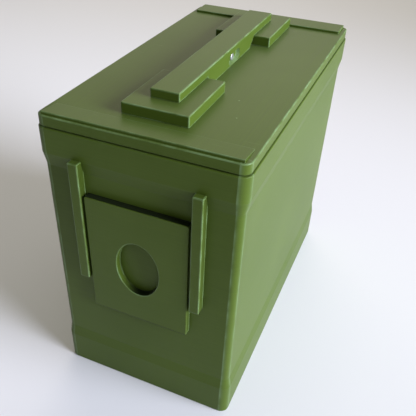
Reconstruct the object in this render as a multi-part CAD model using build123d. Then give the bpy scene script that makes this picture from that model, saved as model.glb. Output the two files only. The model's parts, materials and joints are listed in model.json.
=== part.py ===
from build123d import *
import os

# A hard-walled battery safe box in the style of a small ammunition can, printed in plastic.
# Frame: millimetres, +X to the right seen from the latch end, +Y from the latch end to the
# hinge end, +Z up.  The origin is the middle of the footprint, on the resting surface.

# ---------------------------------------------------------------- driving dimensions
wall_width = 100.0            # outside of the recessed walls, across
wall_length = 188.0           # outside of the recessed walls, front to back
wall_thickness = 3.0
floor_thickness = 3.2
corner_radius = 3.5           # upright corners of the recessed walls
rim_step = 1.3                # the rim band stands this far proud of the walls
foot_step = 1.1               # and the foot band this far
lid_step = 0.7                # the lid is a little narrower than the rim

foot_top = 20.2               # heights above the resting surface
flare_top = 27.1
neck_bottom = 136.7
neck_top = 143.2
rim_top = 156.2
seam_gap = 0.5                # open seam between rim and lid
lid_top = 162.0
lid_plate = 3.0               # thickness of the lid's top
lid_border = 4.0              # width of the thick border under the lid's edge

strip_height = 1.4            # raised strips across the front and back of the lid
strip_inset = 2.7             # from the lid's long sides
strip_ledge = 1.2             # from the lid's front edge
front_strip_depth = 13.8
rear_strip_front = 79.4

rail_front = 98.8             # distance of the rails' front faces from the middle
rail_inner = 28.2
rail_width = 5.3
rail_bottom = 75.5
rail_top = 143.4
plate_front = 97.9
plate_half_width = 26.8
plate_bottom = 56.8
plate_top = 126.6
plate_corner = 2.0
finger_hole_z = 90.7
finger_hole_rx = 11.6
finger_hole_rz = 16.3
latch_travel = 8.5
bolt_travel = 4.0

handle_middle = 0.6           # the handle stands this far behind the lid's middle
pad_gap = 70.1                # between the two pads
pad_length = 42.5             # the rear pad runs on to the rear strip
pad_width = 33.4
pad_height = 5.5
bar_length = 134.4
bar_width = 14.6
bar_thickness = 4.4
grip_foot = 56.8              # length of the deep middle of the bar, where it meets the lid

hinge_y = 95.9
hinge_z = 152.5
knuckle_radius = 2.9
pin_radius = 1.5
fit = 0.1                     # radial clearance of pins and screws in their holes
slide_gap = 0.3               # clearance of sliding parts

# ---------------------------------------------------------------- derived places
half_width = wall_width / 2
half_length = wall_length / 2
inner_half_width = half_width - wall_thickness
inner_half_length = half_length - wall_thickness
front_wall_inside = -inner_half_length
lid_bottom = rim_top + seam_gap
lid_under = lid_top - lid_plate
pad_top = lid_top + pad_height
bar_top = pad_top + bar_thickness


# ---------------------------------------------------------------- shape helpers
def block(x0, x1, y0, y1, z0, z1):
    """A box given by its lowest and highest corners."""
    size = Box(x1 - x0, y1 - y0, z1 - z0)
    return Pos((x0 + x1) / 2, (y0 + y1) / 2, (z0 + z1) / 2) * size


def outline(step, z):
    """The rounded rectangle that stands `step` proud of the walls, at height z."""
    shape = RectangleRounded(wall_width + 2 * step, wall_length + 2 * step, corner_radius + step)
    return Pos(0, 0, z) * shape


def band(step, z0, z1):
    """An upright band of the box, from z0 to z1."""
    return extrude(outline(step, z0), amount=z1 - z0)


def ring(outer_x, outer_y, width, radius, z0, z1):
    """A flat rectangular ring, given by its outer half sizes and its width."""
    outer = RectangleRounded(2 * outer_x, 2 * outer_y, radius)
    inner = RectangleRounded(2 * (outer_x - width), 2 * (outer_y - width), max(radius - width, 0.5))
    return extrude(Pos(0, 0, z0) * (outer - inner), amount=z1 - z0)


def rod_x(radius, x0, x1, y, z):
    """A round bar along X."""
    return Pos((x0 + x1) / 2, y, z) * Rot(0, 90, 0) * Cylinder(radius, x1 - x0)


def rod_y(radius, y0, y1, x, z):
    """A round bar along Y."""
    return Pos(x, (y0 + y1) / 2, z) * Rot(90, 0, 0) * Cylinder(radius, y1 - y0)


def rod_z(radius, z0, z1, x, y):
    """A round bar along Z."""
    return Pos(x, y, (z0 + z1) / 2) * Cylinder(radius, z1 - z0)


def mirrored(shape):
    """The same piece on the other side of the box."""
    return mirror(shape, about=Plane.YZ)


# ---------------------------------------------------------------- hinge
body_knuckle_spans = [(-30.0, -20.8), (-8.0, 8.0), (20.8, 30.0)]
lid_knuckle_spans = [(-20.4, -8.4), (8.4, 20.4)]
knuckle_gap = 0.4


def make_hinge_pin():
    """A steel rod through all five knuckles."""
    return rod_x(pin_radius, -30.0, 30.0, hinge_y, hinge_z)


def hinge_bore():
    return rod_x(pin_radius + fit, -32.0, 32.0, hinge_y, hinge_z)


# ---------------------------------------------------------------- front latch places
link_x = 19.0                 # the two screws that tie the plate to the inner slide
link_z = 113.7
link_screw_radius = 1.25
bush_radius = 2.5
slide_front = front_wall_inside + slide_gap
slide_thickness = 3.0
slide_back = slide_front + slide_thickness
bolt_front = slide_back + 0.4
bolt_thickness = 3.0
bolt_height = 4.0
bolt_back = bolt_front + bolt_thickness
bolt_z = 136.0
bolt_inner_x = 8.5
bolt_outer_x = 33.2
cam_pin_radius = 1.5
cam_pin_x = 12.0
keeper_x = (34.2, 39.2)
keeper_front = front_wall_inside + 0.8
keeper_back = bolt_back + slide_gap + 1.5
keeper_bottom = 131.0
cover_front = -82.2
cover_thickness = 1.6
boss_radius = 3.5
boss_x = 39.5
boss_heights = (104.0, 124.0)
cover_screw_radius = 1.25
rail_screw_radius = 1.0
rail_screw_x = 31.8
rail_screw_heights = (104.0, 139.0)


# ---------------------------------------------------------------- body
def make_body_tub():
    """The tub: foot band, flare, recessed walls, neck and rim band around one deep hollow."""
    foot = band(foot_step, 0, foot_top)
    flare = loft([outline(foot_step, foot_top), outline(0, flare_top)])
    walls = band(0, flare_top, neck_bottom)
    neck = loft([outline(0, neck_bottom), outline(rim_step, neck_top)])
    rim = band(rim_step, neck_top, rim_top)
    solid = foot + flare + walls + neck + rim

    hollow = RectangleRounded(2 * inner_half_width, 2 * inner_half_length, 2.5)
    solid -= extrude(Pos(0, 0, floor_thickness) * hollow, amount=rim_top)

    for x0, x1 in body_knuckle_spans:
        solid += rod_x(knuckle_radius, x0, x1, hinge_y, hinge_z)
        solid += block(x0, x1, half_length, hinge_y, hinge_z - knuckle_radius, hinge_z + 1)
    for x0, x1 in lid_knuckle_spans:
        notch_x0 = x0 - knuckle_gap
        notch_x1 = x1 + knuckle_gap
        reach = knuckle_radius + knuckle_gap
        solid -= rod_x(reach, notch_x0, notch_x1, hinge_y, hinge_z)
        solid -= block(notch_x0, notch_x1, hinge_y - reach, hinge_y + reach, hinge_z, rim_top + 1)
    solid -= hinge_bore()

    for side in (-1, 1):
        slot = SlotCenterToCenter(latch_travel, 2 * (bush_radius + slide_gap), rotation=90)
        place = Plane(origin=(side * link_x, 0, link_z + latch_travel / 2), x_dir=(1, 0, 0),
                      z_dir=(0, -1, 0))
        solid -= extrude(place.offset(half_length - wall_thickness - 1) * slot, amount=wall_thickness + 2)
        for z in boss_heights:
            solid += rod_y(boss_radius, front_wall_inside - 0.5, cover_front, side * boss_x, z)
            solid -= rod_y(cover_screw_radius + fit, front_wall_inside, cover_front, side * boss_x, z)
        for z in rail_screw_heights:
            solid -= rod_y(rail_screw_radius + fit, -half_length - 3, front_wall_inside + 1,
                           side * rail_screw_x, z)
    return solid


def outer_hull():
    """The box's outside as one solid, used to trim what is fixed against it."""
    solid = band(0, flare_top, neck_bottom)
    solid += loft([outline(0, neck_bottom), outline(rim_step, neck_top)])
    solid += band(rim_step, neck_top, rim_top)
    return solid


# ---------------------------------------------------------------- sliding latch
groove_depth = 1.9            # undercut of each rail, where the plate's flange runs
groove_height = 2.5
flange_half_width = 29.4
flange_thickness = 1.8
flange_bottom = 82.0
flange_top = 124.0
plate_back = half_length + slide_gap


def make_right_latch_rail():
    """An upright rail with an undercut facing the plate; its back follows the neck."""
    x0 = rail_inner
    x1 = rail_inner + rail_width
    rail = block(x0, x1, -rail_front, -half_length + 1, rail_bottom, rail_top) - outer_hull()
    front_edges = rail.edges().filter_by(Axis.Z).group_by(Axis.Y)[0]
    rail = chamfer(front_edges, 0.4)
    rail -= block(x0 - 1, x0 + groove_depth, -half_length - groove_height, -half_length + 1,
                  rail_bottom - 1, neck_bottom - 2)
    for z in rail_screw_heights:
        rail -= rod_y(rail_screw_radius + fit, -rail_front + 1.4, -half_length + 1, rail_screw_x, z)
    return rail


def make_rail_screws():
    """Four small screws from inside the box hold the two rails."""
    screws = []
    for side in (-1, 1):
        for z in rail_screw_heights:
            x = side * rail_screw_x
            shank = rod_y(rail_screw_radius, -rail_front + 1.6, front_wall_inside, x, z)
            head = rod_y(1.9, front_wall_inside, front_wall_inside + 1.3, x, z)
            screws.append(shank + head)
    return Compound(children=screws)


def make_latch_plate():
    """The plate with the oval finger hole, and side flanges that run under the rails."""
    height = plate_top - plate_bottom
    middle = (plate_top + plate_bottom) / 2
    face = Plane(origin=(0, -plate_back, middle), x_dir=(1, 0, 0), z_dir=(0, -1, 0))
    plate = extrude(face * RectangleRounded(2 * plate_half_width, height, plate_corner),
                    amount=plate_front - plate_back)
    plate += block(-flange_half_width, flange_half_width, -plate_back - flange_thickness, -plate_back,
                   flange_bottom, flange_top)
    hole_face = Plane(origin=(0, -plate_back + 1, finger_hole_z), x_dir=(1, 0, 0), z_dir=(0, -1, 0))
    plate -= extrude(hole_face * Ellipse(finger_hole_rx, finger_hole_rz), amount=8)
    for side in (-1, 1):
        plate -= rod_y(link_screw_radius + fit, -plate_front + 0.8, -plate_back + 1, side * link_x, link_z)
    return plate


def make_slot_bushes():
    """Two sleeves in the wall's slots keep the plate and the slide apart."""
    bushes = []
    for side in (-1, 1):
        sleeve = rod_y(bush_radius, -plate_back, slide_front, side * link_x, link_z)
        bore = rod_y(link_screw_radius + fit, -plate_back, slide_front, side * link_x, link_z)
        bushes.append(sleeve - bore)
    return Compound(children=bushes)


def make_link_screws():
    """Two screws from inside, through slide and bush into the plate."""
    screws = []
    for side in (-1, 1):
        shank = rod_y(link_screw_radius, -plate_front + 1.0, slide_back, side * link_x, link_z)
        head = rod_y(2.4, slide_back, slide_back + 1.5, side * link_x, link_z)
        screws.append(shank + head)
    return Compound(children=screws)


def make_cam_slide():
    """The inner slide: its two slanted slots drive the bolts outwards as it rises."""
    slide = block(-23, 23, slide_front, slide_back, 109, 140)
    slide -= block(-7, 7, slide_front - 1, slide_back + 1, 119, 134)
    for side in (-1, 1):
        slide -= rod_y(link_screw_radius + fit, slide_front - 1, slide_back + 1, side * link_x, link_z)
        top = (side * cam_pin_x, bolt_z)
        bottom = (side * (cam_pin_x + bolt_travel), bolt_z - latch_travel)
        radius = cam_pin_radius + slide_gap
        face = Plane(origin=(0, slide_front - 1, 0), x_dir=(1, 0, 0), z_dir=(0, -1, 0))
        run = Line(top, bottom)
        slot = SlotCenterToCenter(run.length, 2 * radius, rotation=0)
        angle = run.tangent_angle_at(0)
        centre = run @ 0.5
        slide -= extrude(face * Pos(centre.X, centre.Y) * Rot(0, 0, angle) * slot,
                         amount=-slide_thickness - 2)
    return slide


def make_right_lock_bolt():
    """A square bolt with a round cam pin on its front."""
    half = bolt_height / 2
    bolt = block(bolt_inner_x, bolt_outer_x, bolt_front, bolt_back, bolt_z - half, bolt_z + half)
    tip_edges = bolt.edges().filter_by(Axis.Y).group_by(Axis.X)[-1]
    bolt = chamfer(tip_edges, 0.8)
    return bolt + rod_y(cam_pin_radius, slide_front + 0.2, bolt_front, cam_pin_x, bolt_z)


def make_right_bolt_guide():
    """A bracket bonded to the wall, with a square window for the bolt."""
    guide = block(24.2, 29.2, front_wall_inside, cover_front - 0.1, 128.5, 143.5)
    reach = bolt_height / 2 + slide_gap
    window = block(24, 29.4, bolt_front - slide_gap, bolt_back + slide_gap, bolt_z - reach, bolt_z + reach)
    return guide - window


def make_latch_cover():
    """The screwed inner cover that keeps the packs away from the latch."""
    cover = block(-43.5, 43.5, cover_front, cover_front + cover_thickness, 100.5, 148)
    cover = fillet(cover.edges().filter_by(Axis.Y), 3)
    for side in (-1, 1):
        for z in boss_heights:
            cover -= rod_y(cover_screw_radius + fit, cover_front - 1, cover_front + 3, side * boss_x, z)
    return cover


def make_cover_screws():
    """Four screws with round heads in the cover's corners."""
    screws = []
    for side in (-1, 1):
        for z in boss_heights:
            x = side * boss_x
            shank = rod_y(cover_screw_radius, cover_front - 7, cover_front + cover_thickness, x, z)
            back = cover_front + cover_thickness
            head = rod_y(2.4, back, back + 1.5, x, z)
            screws.append(shank + head)
    return Compound(children=screws)


# ---------------------------------------------------------------- lid
handle_screw_spacing = (44.0, 58.0)
screw_radius = 1.5
screw_head_radius = 2.75
screw_head_height = 1.6
lip_clearance = 2.0
lip_width = 2.0
lip_bottom = 152.0
gasket_width = 2.2
gasket_outer = half_width - 0.2
keeper_foot_back = -74.0
keeper_screw_y = -78.0
boss_half_length = 9.0
boss_half_width = 3.0
boss_top = 169.0
cross_screw_y = 2.8
cross_screw_z = 165.6
cross_screw_radius = 1.25
eye_radius = 2.8               # of the oval recess in the grip's side
eye_length = 16.0
eye_middle = 3.3
cross_head_radius = 2.3
cross_head_height = 1.3
eye_depth = 1.8


def handle_screw_places():
    """Where the four handle screws stand along the middle of the lid."""
    places = []
    for end in (-1, 1):
        for reach in handle_screw_spacing:
            places.append(handle_middle + end * reach)
    return places


def make_lid_shell():
    """The lid: thick border, top plate, front and rear strips, lip, boss and two knuckles."""
    lid = band(lid_step, lid_bottom, lid_top)
    recess_x = half_width + lid_step - lid_border
    recess_y = half_length + lid_step - lid_border
    lid -= extrude(Pos(0, 0, lid_bottom) * RectangleRounded(2 * recess_x, 2 * recess_y, 1.0),
                   amount=lid_under - lid_bottom)
    lid += ring(inner_half_width - lip_clearance, inner_half_length - lip_clearance, lip_width, 3.0,
                lip_bottom, lid_under)
    for side in (-1, 1):
        near, far = sorted((side * (keeper_x[0] - 1), side * (keeper_x[1] + 1)))
        lid -= block(near, far, front_wall_inside, -inner_half_length + 5, lip_bottom - 1, lid_under)
    lid -= ring(gasket_outer, gasket_outer + half_length - half_width, gasket_width, 3.5,
                lid_bottom, lid_bottom + 1.2)

    strip_x = half_width + lid_step - strip_inset
    strip_y = half_length + lid_step
    wedge = Polyline((-strip_y + strip_ledge, lid_top), (-strip_y + strip_ledge, lid_top + strip_height),
                     (-strip_y + front_strip_depth, lid_top), close=True)
    profile = make_face(Plane.YZ * wedge)
    lid += extrude(profile, amount=strip_x, both=True)
    lid += block(-strip_x, strip_x, rear_strip_front, strip_y - 0.4, lid_top, lid_top + strip_height)

    lid += block(-boss_half_width, boss_half_width, handle_middle - boss_half_length,
                 handle_middle + boss_half_length, lid_top, boss_top)
    lid -= rod_x(cross_screw_radius + fit, -5, 5, cross_screw_y, cross_screw_z)
    for y in handle_screw_places():
        lid -= rod_z(screw_radius + fit, lid_under - 1, lid_top + 1, 0, y)
        lid -= rod_z(screw_head_radius + fit, lid_under - 1, lid_under + screw_head_height, 0, y)
    for side in (-1, 1):
        x = side * (keeper_x[0] + keeper_x[1]) / 2
        lid -= rod_z(cross_screw_radius + fit, lid_under - 1, lid_under + 2.4, x, keeper_screw_y)

    for x0, x1 in lid_knuckle_spans:
        arm = block(x0, x1, strip_y - 0.6, hinge_y + knuckle_radius, hinge_z, lid_bottom + 3.3)
        arm = chamfer(arm.edges().filter_by(Axis.X).group_by(Axis.Z)[-1].group_by(Axis.Y)[-1], 1.8)
        arm += rod_x(knuckle_radius, x0, x1, hinge_y, hinge_z)
        lid += arm
    lid -= hinge_bore()
    return lid


def make_lid_gasket():
    """A rubber seal in the groove of the lid's border."""
    return ring(gasket_outer - 0.05, gasket_outer + half_length - half_width - 0.05, gasket_width - 0.1,
                3.4, rim_top + 0.1, lid_bottom + 1.2)


def make_right_lid_keeper():
    """An angle under the lid with a window that the bolt enters."""
    x0, x1 = keeper_x
    tongue = block(x0, x1, keeper_front, keeper_back, keeper_bottom, lid_under)
    foot = block(x0, x1, keeper_front, keeper_foot_back, lid_under - 3, lid_under)
    keeper = tongue + foot
    reach = bolt_height / 2 + 0.5
    keeper -= block(x0 - 1, x1 + 1, bolt_front - 0.5, bolt_back + 0.5, bolt_z - reach, bolt_z + reach)
    middle = (x0 + x1) / 2
    return keeper - rod_z(cross_screw_radius + fit, lid_under - 4, lid_under + 1, middle, keeper_screw_y)


def make_keeper_screws():
    """One screw up into the lid for each keeper."""
    screws = []
    for side in (-1, 1):
        x = side * (keeper_x[0] + keeper_x[1]) / 2
        shank = rod_z(cross_screw_radius, lid_under - 3, lid_under + 2.2, x, keeper_screw_y)
        head = rod_z(2.3, lid_under - 4.5, lid_under - 3, x, keeper_screw_y)
        screws.append(shank + head)
    return Compound(children=screws)


# ---------------------------------------------------------------- carrying handle
def make_handle_pad(end):
    """One of the two pads under the bar; the rear one reaches the lid's rear strip."""
    inner = handle_middle + end * pad_gap / 2
    outer = handle_middle - pad_gap / 2 - pad_length if end < 0 else rear_strip_front - 0.1
    pad = block(-pad_width / 2, pad_width / 2, min(inner, outer), max(inner, outer), lid_top, pad_top)
    pad = chamfer(pad.edges().group_by(Axis.Z)[-1], 0.35)
    for reach in handle_screw_spacing:
        pad -= rod_z(screw_radius + fit, lid_top - 1, pad_top + 1, 0, handle_middle + end * reach)
    return pad


def make_handle_bar():
    """The grip bar; its deep middle straddles the lid's boss and has slanted ends."""
    half_bar = bar_length / 2
    half_foot = grip_foot / 2
    half_gap = pad_gap / 2 - 0.15
    side_view = Polyline((-half_bar, pad_top), (-half_gap, pad_top), (-half_foot, lid_top),
                         (half_foot, lid_top), (half_gap, pad_top), (half_bar, pad_top),
                         (half_bar, bar_top), (-half_bar, bar_top), close=True)
    profile = make_face(Plane.YZ * side_view)
    bar = Pos(0, handle_middle, 0) * extrude(profile, amount=bar_width / 2, both=True)
    bar = chamfer(bar.edges().group_by(Axis.Z)[-1], 0.4)
    bar -= block(-boss_half_width - 0.15, boss_half_width + 0.15, handle_middle - boss_half_length - 0.15,
                 handle_middle + boss_half_length + 0.15, lid_top - 1, boss_top + 0.15)
    for y in handle_screw_places():
        bar -= rod_z(screw_radius + fit, pad_top - 1, bar_top - 1.2, 0, y)
    bar -= rod_x(cross_screw_radius + fit, -5.6, bar_width, cross_screw_y, cross_screw_z)
    seat = bar_width / 2 - eye_depth
    half_straight = eye_length / 2 - eye_radius
    for y in (eye_middle - half_straight, eye_middle + half_straight):
        bar -= rod_x(eye_radius, seat, bar_width, y, cross_screw_z)
    bar -= block(seat, bar_width, eye_middle - half_straight, eye_middle + half_straight,
                 cross_screw_z - eye_radius, cross_screw_z + eye_radius)
    return bar


def make_handle_screws():
    """Four screws up through lid and pads into the bar."""
    screws = []
    for y in handle_screw_places():
        head = rod_z(screw_head_radius, lid_under, lid_under + screw_head_height, 0, y)
        shank = rod_z(screw_radius, lid_under + screw_head_height, bar_top - 1.4, 0, y)
        screws.append(head + shank)
    return Compound(children=screws)


def make_handle_cross_screw():
    """The screw seen as a small eye in the right side of the grip."""
    seat = bar_width / 2 - eye_depth
    head_front = seat + cross_head_height
    shank = rod_x(cross_screw_radius, -5.4, seat, cross_screw_y, cross_screw_z)
    head = rod_x(cross_head_radius, seat, head_front, cross_screw_y, cross_screw_z)
    recess = Pos(head_front, cross_screw_y, cross_screw_z) * Rot(0, 90, 0)
    recess *= extrude(RegularPolygon(1.1, 6), amount=0.8, both=True)
    return shank + head - recess


# ---------------------------------------------------------------- fire-resistant liner
liner_thickness = 3.0
liner_bottom = floor_thickness
liner_top = 148.0
liner_gap = 0.3
lid_liner_front = -72.0


def make_floor_liner():
    x = inner_half_width - liner_gap
    y = inner_half_length - liner_gap
    return fillet(block(-x, x, -y, y, liner_bottom, liner_bottom + liner_thickness)
                  .edges().filter_by(Axis.Z), 2.4)


def make_right_liner():
    x1 = inner_half_width - liner_gap
    y = inner_half_length - liner_thickness - 2 * liner_gap
    return block(x1 - liner_thickness, x1, -y, y, liner_bottom + liner_thickness + liner_gap, liner_top)


def make_end_liner(end, top):
    x = inner_half_width - liner_gap
    y1 = inner_half_length - liner_gap
    y0 = y1 - liner_thickness
    low, high = min(end * y0, end * y1), max(end * y0, end * y1)
    board = block(-x, x, low, high, liner_bottom + liner_thickness + liner_gap, top)
    return fillet(board.edges().filter_by(Axis.Z).group_by(Axis.Y)[0 if end < 0 else -1], 2.4)


def make_lid_liner():
    x = inner_half_width - lip_clearance - lip_width - liner_gap
    y = inner_half_length - lip_clearance - lip_width - liner_gap
    return block(-x, x, lid_liner_front, y, lid_under - liner_thickness, lid_under)


# ---------------------------------------------------------------- all pieces
right_rail = make_right_latch_rail()
right_bolt = make_right_lock_bolt()
right_guide = make_right_bolt_guide()
right_keeper = make_right_lid_keeper()
right_liner = make_right_liner()

pieces = {
    "body_tub": make_body_tub(),
    "right_latch_rail": right_rail,
    "left_latch_rail": mirrored(right_rail),
    "rail_screws": make_rail_screws(),
    "latch_plate": make_latch_plate(),
    "slot_bushes": make_slot_bushes(),
    "link_screws": make_link_screws(),
    "cam_slide": make_cam_slide(),
    "right_lock_bolt": right_bolt,
    "left_lock_bolt": mirrored(right_bolt),
    "right_bolt_guide": right_guide,
    "left_bolt_guide": mirrored(right_guide),
    "latch_cover": make_latch_cover(),
    "cover_screws": make_cover_screws(),
    "lid_shell": make_lid_shell(),
    "lid_gasket": make_lid_gasket(),
    "right_lid_keeper": right_keeper,
    "left_lid_keeper": mirrored(right_keeper),
    "keeper_screws": make_keeper_screws(),
    "front_handle_pad": make_handle_pad(-1),
    "rear_handle_pad": make_handle_pad(1),
    "handle_bar": make_handle_bar(),
    "handle_screws": make_handle_screws(),
    "handle_cross_screw": make_handle_cross_screw(),
    "hinge_pin": make_hinge_pin(),
    "floor_liner": make_floor_liner(),
    "right_liner": right_liner,
    "left_liner": mirrored(right_liner),
    "front_liner": make_end_liner(-1, 99.0),
    "rear_liner": make_end_liner(1, liner_top),
    "lid_liner": make_lid_liner(),
}

os.makedirs("parts", exist_ok=True)
for name, shape in pieces.items():
    export_step(shape, f"parts/{name}.step")
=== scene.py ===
# %% [markdown]
# # A printed battery safe box
# The object is a hard box in the style of a small ammunition can.  Its tub, lid, latch plate, rails
# and handle are printed in satin olive plastic, and inside it is lined with boards of fire-resistant
# felt.  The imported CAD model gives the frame: what moves, and where every part is.  This script
# gives the looks: rounded edges, printed surfaces, felt, rubber and steel.

# %% Load the frame
import json
import math

import bmesh
import bpy
import numpy as np
from mathutils import Matrix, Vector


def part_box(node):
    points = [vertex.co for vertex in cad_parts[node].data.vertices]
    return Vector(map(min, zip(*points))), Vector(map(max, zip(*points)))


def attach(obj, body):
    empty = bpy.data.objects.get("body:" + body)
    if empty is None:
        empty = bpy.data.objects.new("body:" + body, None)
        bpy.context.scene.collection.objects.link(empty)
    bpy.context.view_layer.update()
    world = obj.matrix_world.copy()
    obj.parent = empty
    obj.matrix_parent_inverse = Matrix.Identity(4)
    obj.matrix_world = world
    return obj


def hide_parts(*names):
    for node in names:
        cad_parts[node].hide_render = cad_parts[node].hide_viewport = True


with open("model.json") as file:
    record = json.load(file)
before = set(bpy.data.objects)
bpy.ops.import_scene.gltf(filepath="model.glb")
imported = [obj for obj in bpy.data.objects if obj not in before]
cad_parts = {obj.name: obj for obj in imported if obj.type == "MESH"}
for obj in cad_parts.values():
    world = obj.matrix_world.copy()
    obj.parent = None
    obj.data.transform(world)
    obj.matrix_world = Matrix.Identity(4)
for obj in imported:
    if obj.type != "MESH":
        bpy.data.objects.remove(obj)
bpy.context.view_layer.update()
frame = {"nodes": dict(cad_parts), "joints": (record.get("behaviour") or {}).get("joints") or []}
MM = 0.001


def box_mm(node):
    """The lowest and highest corner of a CAD node, in millimetres."""
    low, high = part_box(node)
    return np.array(low) / MM, np.array(high) / MM


# %% [markdown]
# ## Outlines
# Every printed part here is a flat outline given some height, with small round edges.  A round edge
# matters more than anything else: it is what catches the light.  So the first tool turns a few
# corner points into a closed outline whose corners are true arcs.

# %% Rounded outlines
ARC_STEPS = 5
HOLD = 0.25                   # mm, a support point beside each arc keeps the flats looking flat


def unit(v):
    """Vectors of length one, the same directions."""
    return v / np.linalg.norm(v, axis=-1, keepdims=True)


def corner_frames(points):
    """For each corner: the directions back and ahead, half the angle between them, and its turn."""
    back = unit(np.roll(points, 1, 0) - points)
    ahead = unit(np.roll(points, -1, 0) - points)
    half = np.arccos(np.clip((back * ahead).sum(1), -1, 1)) / 2
    turn = np.sign(ahead[:, 0] * back[:, 1] - ahead[:, 1] * back[:, 0])
    return back, ahead, half, turn


def arcs(points, radii, steps=ARC_STEPS, hold=HOLD):
    """Each corner becomes an arc of its radius, with one support point before and after it.

    The arc's centre is on the bisector, radius / sin(half angle) from the corner.  Its points come
    from turning the vector to the first tangent point into the vector to the second one.
    Returns the points of all corners and a wear value: 1 on the arcs, 0 on the support points."""
    back, ahead, half, _ = corner_frames(points)
    radius = np.broadcast_to(np.asarray(radii, float), half.shape)[:, None]
    half = half[:, None]
    centre = points + unit(back + ahead) * radius / np.sin(half)
    start = points + back * radius / np.tan(half)
    end = points + ahead * radius / np.tan(half)
    sweep = (math.pi - 2 * half)[:, None]
    s = np.linspace(0, 1, steps + 1)[None, :, None]
    first = (start - centre)[:, None]
    last = (end - centre)[:, None]
    arc = (np.sin((1 - s) * sweep) * first + np.sin(s * sweep) * last) / np.sin(sweep)
    arc = centre[:, None] + arc
    corners = np.concatenate([(start + back * hold)[:, None], arc, (end + ahead * hold)[:, None]], 1)
    wear_and_painted_light = np.ones(corners.shape[:2])
    wear_and_painted_light[:, [0, -1]] = 0
    return corners.reshape(-1, 2), wear_and_painted_light.ravel()


def ring(points, radii, grow=0.0, steps=ARC_STEPS, hold=HOLD):
    """The same outline, moved outwards by grow: corners go along their bisectors, outside arcs widen
    and inside arcs tighten."""
    points = np.asarray(points, float)
    back, ahead, half, turn = corner_frames(points)
    moved = points - unit(back + ahead) * (turn * grow / np.sin(half))[:, None]
    wider = np.maximum(np.asarray(radii, float) + turn * grow, 0.05)
    return arcs(moved, wider, steps, hold)


def rectangle(half_x, half_y, x=0.0, y=0.0):
    """Four corners, counterclockwise."""
    return np.array([(x - half_x, y - half_y), (x + half_x, y - half_y),
                     (x + half_x, y + half_y), (x - half_x, y + half_y)])


def span(x0, x1, y0, y1):
    """A rectangle given by its sides."""
    return rectangle((x1 - x0) / 2, (y1 - y0) / 2, (x0 + x1) / 2, (y0 + y1) / 2)


def profile(points, radii, steps=ARC_STEPS, hold=HOLD):
    """An open line of (grow, height) points whose inner corners are rounded like the outline's."""
    points = np.asarray(points, float)
    closed = arcs(points, np.r_[0.01, radii, 0.01], steps, hold)
    per_corner = steps + 3
    inner = slice(per_corner, -per_corner)
    line = np.vstack([points[:1], closed[0][inner], points[-1:]])
    return line, np.r_[0, closed[1][inner], 0]


print("outline of a rounded rectangle:", len(ring(rectangle(10, 5), 1)[0]), "points")

# %% [markdown]
# ## From outlines to closed shells
# A shell is a stack of rings: ring v is the outline grown by the profile's v-th offset, at the
# profile's v-th height.  That is a surface of two parameters, u around the outline and v along the
# profile.  The first and last rings are closed with a flat face, or joined to each other for a part
# with a hole.  A value rides along as an attribute.  Above zero it makes the plastic a little paler
# on every edge, as handled plastic is, and on the wide corners it paints two highlight lines.  Below
# zero it is painted shade: in the seam, on the plate's top edge and in its hole, and low on the latch
# parts.

# %% Shells
def grid_faces(count_v, count_u, closed):
    """Quads between neighbouring rings; the u direction always wraps, v only if closed."""
    v = np.arange(count_v if closed else count_v - 1)[:, None]
    u = np.arange(count_u)[None, :]
    next_v, next_u = (v + 1) % count_v, (u + 1) % count_u
    a, b = v * count_u + u, v * count_u + next_u
    c, d = next_v * count_u + next_u, next_v * count_u + u
    return np.stack([a, b, c, d], -1).reshape(-1, 4).tolist()


def shell(rings, wear_and_painted_light, closed=False):
    """Rings (v, u, 3) as (points, faces, wear), with both ends capped unless closed."""
    count_v, count_u = rings.shape[:2]
    faces = grid_faces(count_v, count_u, closed)
    if not closed:
        last = (count_v - 1) * count_u
        faces += [list(range(count_u))[::-1], list(range(last, last + count_u))]
    return rings.reshape(-1, 3), faces, wear_and_painted_light.reshape(-1)


UP = ((1, 0, 0), (0, 1, 0), (0, 0, 1))            # outline in X and Y, height along Z
FORWARD = ((1, 0, 0), (0, 0, 1), (0, -1, 0))      # outline in X and Z, height towards the latch end
ACROSS = ((0, 1, 0), (0, 0, 1), (1, 0, 0))        # outline in Y and Z, height along X


def prism(outline, radii, line, line_wear_and_shade, axes=UP, steps=ARC_STEPS, hold=HOLD, corner_highlight=None):
    """A stack of rings: the outline grown by line[v, 0] at height line[v, 1], turned onto the axes.
    Corner values, one per point of a corner, replace the arcs' even values: painted highlight lines."""
    rings, wear_and_painted_light = [], []
    for grow, height in line:
        flat, flat_wear = ring(outline, radii, grow, steps, hold)
        rings.append(np.column_stack([flat, np.full(len(flat), height)]))
        wear_and_painted_light.append(flat_wear if corner_highlight is None else np.tile(corner_highlight, len(outline)))
    wear_and_painted_light = np.maximum(np.array(wear_and_painted_light), np.asarray(line_wear_and_shade)[:, None])
    wear_and_painted_light[[0, -1]] = 0
    return shell(np.array(rings) @ np.array(axes, float), wear_and_painted_light)


def corner_highlight_lines(steps, strength):
    """Painted highlight lines for a wide corner: strength times the fourth power of s, which runs from
    -1 to 1 along the arc, so it is strong where the arc begins and ends, and hardly there between them."""
    s = np.linspace(-1, 1, steps + 1)
    return np.r_[0, strength * np.abs(s) ** 4, 0]


def slab(outline, radii, low, high, edge, axes=UP, inset=1.0, foot=0.0):
    """A prism from low to high with round edges; foot widens its first edge like a glue fillet."""
    if foot:
        line, wear_and_painted_light = profile([(foot - inset, low), (foot, low), (0, low + foot), (0, high),
                              (-inset, high)], [0.05, 0.3, edge])
    else:
        line, wear_and_painted_light = profile([(-inset, low), (0, low), (0, high), (-inset, high)], [edge, edge])
    return prism(outline, radii, line, wear_and_painted_light, axes)


print("a slab with round edges:", len(slab(rectangle(10, 5), 1, 0, 3, 0.5)[0]), "points")

# %% Objects from shells
SMOOTH_ANGLE = math.radians(35)


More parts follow.
